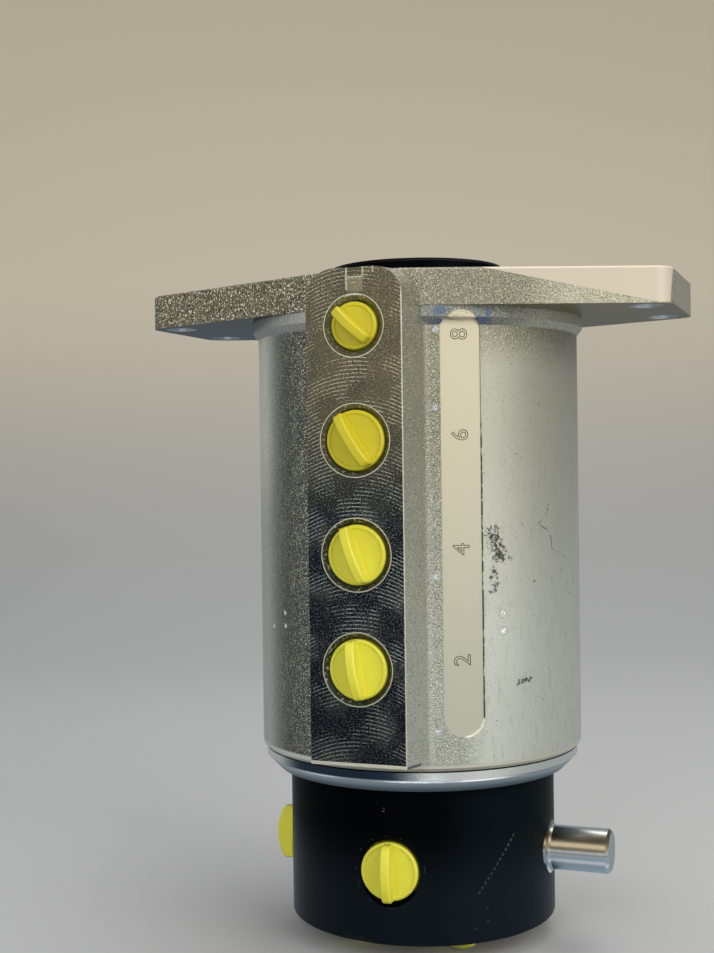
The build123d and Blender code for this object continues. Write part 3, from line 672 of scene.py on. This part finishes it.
# The lower caps are painted a lighter yellow than the upper ones: painted light and shade.
shaded_upper_yellow = wax.colour(flow, srgb(214, 198, 42), srgb(206, 194, 50))
lit_lower_yellow = wax.colour(flow, srgb(236, 228, 72), srgb(228, 222, 78))
yellow = wax.colour(wax.step(wax.along((0, 0, 1)), -45, -100), shaded_upper_yellow, lit_lower_yellow)
wax.surface(Base_Color=yellow, Roughness=wax.blend(wax.noise(0.8, 2.0), 0.34, 0.46),
            Subsurface_Weight=0.35, Subsurface_Scale=0.004, Specular_IOR_Level=0.3,
            Normal=wax.relief(wax.noise(0.9), 0.03))
wax.shader.inputs["Subsurface Radius"].default_value = (1.0, 0.9, 0.15)
wear(wax.material, *[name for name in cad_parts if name.startswith("port_cap")])

# ------------------------------------------------------------------------------------------------
# Studio. A plain pale floor that sweeps up behind, soft lamps on three sides and above, and a low
# narrow one for the bright metal. Far off, the floor melts into a plain pale backdrop.

FLOOR_GAP = 0.0006
SHEET_FRONT = -4.0
SHEET_BACK = 1.9
SHEET_HALF_WIDTH = 4.0
SHEET_RISE = 2.4
SHEET_BEND = 1.3
SHEET_AZIMUTH = radians(20.5)
BACKDROP = srgb(206, 206, 202)
floor_height = cad_box[0][2] - FLOOR_GAP


def sweep_profile(count=16):
    """Floor line from the front to a bend and up the back."""
    start = SHEET_BACK - SHEET_BEND
    points = [(SHEET_FRONT, 0.0), (start, 0.0)]
    for n in range(1, count + 1):
        angle = pi / 2 * n / count
        points.append((start + SHEET_BEND * sin(angle), SHEET_BEND - SHEET_BEND * cos(angle)))
    points.append((SHEET_BACK, SHEET_RISE))
    return points


back = Vector((-sin(SHEET_AZIMUTH), cos(SHEET_AZIMUTH), 0))
side = Vector((cos(SHEET_AZIMUTH), sin(SHEET_AZIMUTH), 0))
profile = sweep_profile()
vertices = []
for along, up in profile:
    for across in (-SHEET_HALF_WIDTH, SHEET_HALF_WIDTH):
        vertices.append(back * along + side * across + Vector((0, 0, floor_height + up)))
faces = [(2 * n, 2 * n + 1, 2 * n + 3, 2 * n + 2) for n in range(len(profile) - 1)]
sheet = bpy.data.meshes.new("paper_sweep")
sheet.from_pydata(vertices, [], faces)
sheet.update()
for face in sheet.polygons:
    face.use_smooth = True
paper = bpy.data.objects.new("paper_sweep", sheet)
bpy.context.scene.collection.objects.link(paper)

# The card is seen a little warmer and brighter up the sweep, and shows pale in the bright metal.
card = Finish("pale_card")
rays = card.tree.nodes.new("ShaderNodeLightPath").outputs
seen = rays["Is Camera Ray"]
climb = card.step(card.along((0, 0, 1)), floor_height / MM, (floor_height + 0.45) / MM)
rise = card.blend(climb, 0.04, 0.5)
card_tone = card.colour(rise, srgb(184, 186, 188), srgb(190, 176, 146))
card.surface(Base_Color=card.colour(seen, srgb(112, 114, 118), card_tone), Roughness=0.9,
             Emission_Color=card.colour(seen, srgb(180, 190, 197), srgb(190, 176, 148)),
             Emission_Strength=card.math("MULTIPLY_ADD", rays["Is Glossy Ray"], 0.55,
                                         card.both(seen, rise)))
near = card.both(*[card.step(card.along(direction), end, start) for direction, start, end in
                   ((-back, 400, 1100), (side, 900, 1600), (-side, 900, 1600))])
haze = card.tree.nodes.new("ShaderNodeEmission")
haze.inputs["Color"].default_value = BACKDROP
melted = card.tree.nodes.new("ShaderNodeMixShader")
card.put(melted.inputs[0], card.both(card.math("SUBTRACT", 1.0, near), seen))
card.put(melted.inputs[1], card.shader.outputs[0])
card.put(melted.inputs[2], haze.outputs[0])
card.put(card.tree.nodes["Material Output"].inputs["Surface"], melted.outputs[0])
sheet.materials.append(card.material)

world = bpy.data.worlds.new("studio")
bpy.context.scene.world = world
world.use_nodes = True
sky = world.node_tree.nodes.new("ShaderNodeMix")
sky.data_type = "RGBA"
sky.inputs["A"].default_value = (0.276, 0.288, 0.3, 1.0)
sky.inputs["B"].default_value = BACKDROP
world_rays = world.node_tree.nodes.new("ShaderNodeLightPath").outputs
background = world.node_tree.nodes["Background"].inputs
world.node_tree.links.new(world_rays["Is Camera Ray"], sky.inputs["Factor"])
world.node_tree.links.new(sky.outputs["Result"], background["Color"])
background["Strength"].default_value = 1.0


def lamp(name, place, size, power, colour):
    """Oblong soft lamp aimed at the middle of the part."""
    light = bpy.data.lights.new(name, "AREA")
    light.shape = "RECTANGLE"
    light.size, light.size_y = size
    light.energy = power
    light.color = colour
    holder = bpy.data.objects.new(name, light)
    holder.location = place
    holder.rotation_euler = (LAMP_TARGET - Vector(place)).to_track_quat("-Z", "Y").to_euler()
    bpy.context.scene.collection.objects.link(holder)


LAMP_TARGET = Vector((0, 0, -0.1))
lamp("key_lamp", (0.9, -0.5, 0.3), (0.8, 1.0), 8.1, (1.0, 0.985, 0.945))
lamp("front_lamp", (-0.1, -1.1, 0.45), (0.7, 0.5), 3.4, (1.0, 0.985, 0.96))
lamp("fill_lamp", (-0.95, -0.55, 0.1), (0.6, 1.0), 2.2, (0.9, 0.95, 1.0))
lamp("top_lamp", (0.1, 0.25, 1.0), (0.9, 0.9), 8, (1.0, 0.99, 0.96))
lamp("low_lamp", (0.25, -1.0, -0.16), (0.7, 0.05), 1.2, (0.9, 0.95, 1.0))

camera_data = bpy.data.cameras.new("camera")
camera_data.lens = 52.5
camera_data.sensor_width = 36
camera = bpy.data.objects.new("camera", camera_data)
camera.location = (0.1429, -0.4406, -0.0582)
look = Vector((-0.0192, -0.0072, -0.0616)) - camera.location
level_turn = Quaternion((0, 0, 1), radians(-0.73))
camera.rotation_mode = "QUATERNION"
camera.rotation_quaternion = look.to_track_quat("-Z", "Y") @ level_turn
bpy.context.scene.collection.objects.link(camera)
bpy.context.scene.camera = camera
bpy.context.scene.view_settings.view_transform = "Standard"
